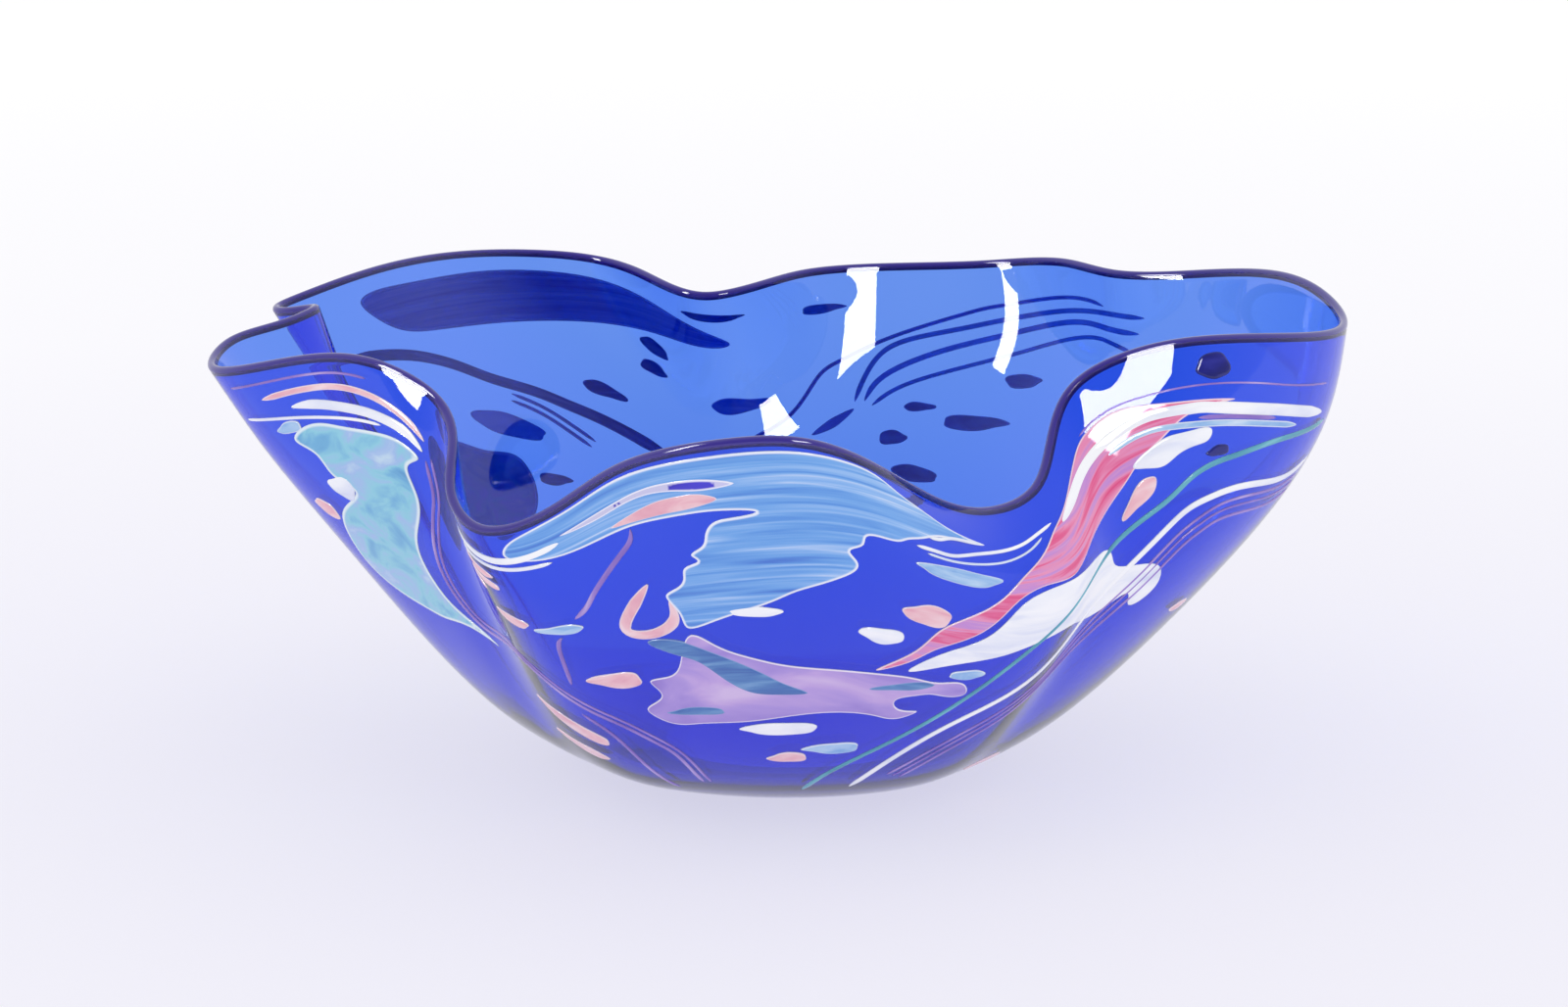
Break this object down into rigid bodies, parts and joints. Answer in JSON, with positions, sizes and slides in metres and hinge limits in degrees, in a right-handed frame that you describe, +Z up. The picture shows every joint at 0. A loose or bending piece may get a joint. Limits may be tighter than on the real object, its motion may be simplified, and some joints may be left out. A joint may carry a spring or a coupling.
{
  "type": "art glass bowl",
  "caption": "Wide ruffled art glass bowl on a flat foot, for display or holding fruit, decorated with glass shards, canes and chips fused into its outside.",
  "frame": {"origin": "middle of the flat foot, on the surface that the bowl stands on", "axes": "+Z up, +X to the right and -Y towards the viewer, seen from the front"},
  "size_m": [0.4277, 0.3988, 0.1784],
  "materials": {
    "cobalt_glass": "clear, glossy",
    "sky_blue_glass": "opaque, glossy, streaked",
    "teal_glass": "opaque, glossy",
    "lavender_glass": "opaque, glossy",
    "white_glass": "opaque, glossy",
    "magenta_glass": "opaque, glossy, streaked",
    "pink_glass": "opaque, glossy",
    "steel_blue_glass": "opaque, glossy",
    "dark_blue_glass": "opaque, glossy",
    "violet_glass": "opaque, glossy"
  },
  "bodies": {
    "root": {"back_centre_chips": "sky_blue_glass", "back_leaf_chip": "white_glass", "back_left_chips": "steel_blue_glass", "back_left_shard": "sky_blue_glass", "back_ribbon": "steel_blue_glass", "back_ribbon_strands": "lavender_glass", "back_right_chips": "pink_glass", "blue_feather": "steel_blue_glass", "bowl_body": "cobalt_glass", "centre_pink_chip": "pink_glass", "dark_blue_chips": "dark_blue_glass", "fan_thread_a": "lavender_glass", "fan_thread_b": "teal_glass", "fan_thread_c": "white_glass", "fan_thread_d": "teal_glass", "fan_trunk": "white_glass", "front_blue_shard": "sky_blue_glass", "lavender_shard": "lavender_glass", "lavender_squiggle": "lavender_glass", "lavender_squiggle_tail": "lavender_glass", "left_branch_cane": "lavender_glass", "left_bundle_canes": "lavender_glass", "left_inner_shard": "teal_glass", "left_lavender_line": "lavender_glass", "left_pink_chips": "pink_glass", "left_pink_leaf": "pink_glass", "left_teal_shard": "teal_glass", "left_white_leaf": "white_glass", "left_white_line": "white_glass", "light_blue_chips": "sky_blue_glass", "lobe_blue_band": "sky_blue_glass", "lobe_lavender_band": "lavender_glass", "lobe_lavender_lines": "lavender_glass", "lobe_white_band": "white_glass", "lobe_white_chip": "white_glass", "magenta_shard": "magenta_glass", "pink_loop": "pink_glass", "right_lavender_canes": "lavender_glass", "right_pink_chips": "pink_glass", "right_teal_cane": "teal_glass", "right_white_cane": "white_glass", "rim_finger": "violet_glass", "rim_pink_band": "pink_glass", "rim_white_bands": "white_glass", "rim_white_line": "white_glass", "saddle_blue_line": "sky_blue_glass", "saddle_pink_chips": "pink_glass", "saddle_white_line": "white_glass", "saddle_white_upper": "white_glass", "steel_blue_chips": "steel_blue_glass", "white_chips": "white_glass", "white_shard": "white_glass"}
  },
  "joints": []
}
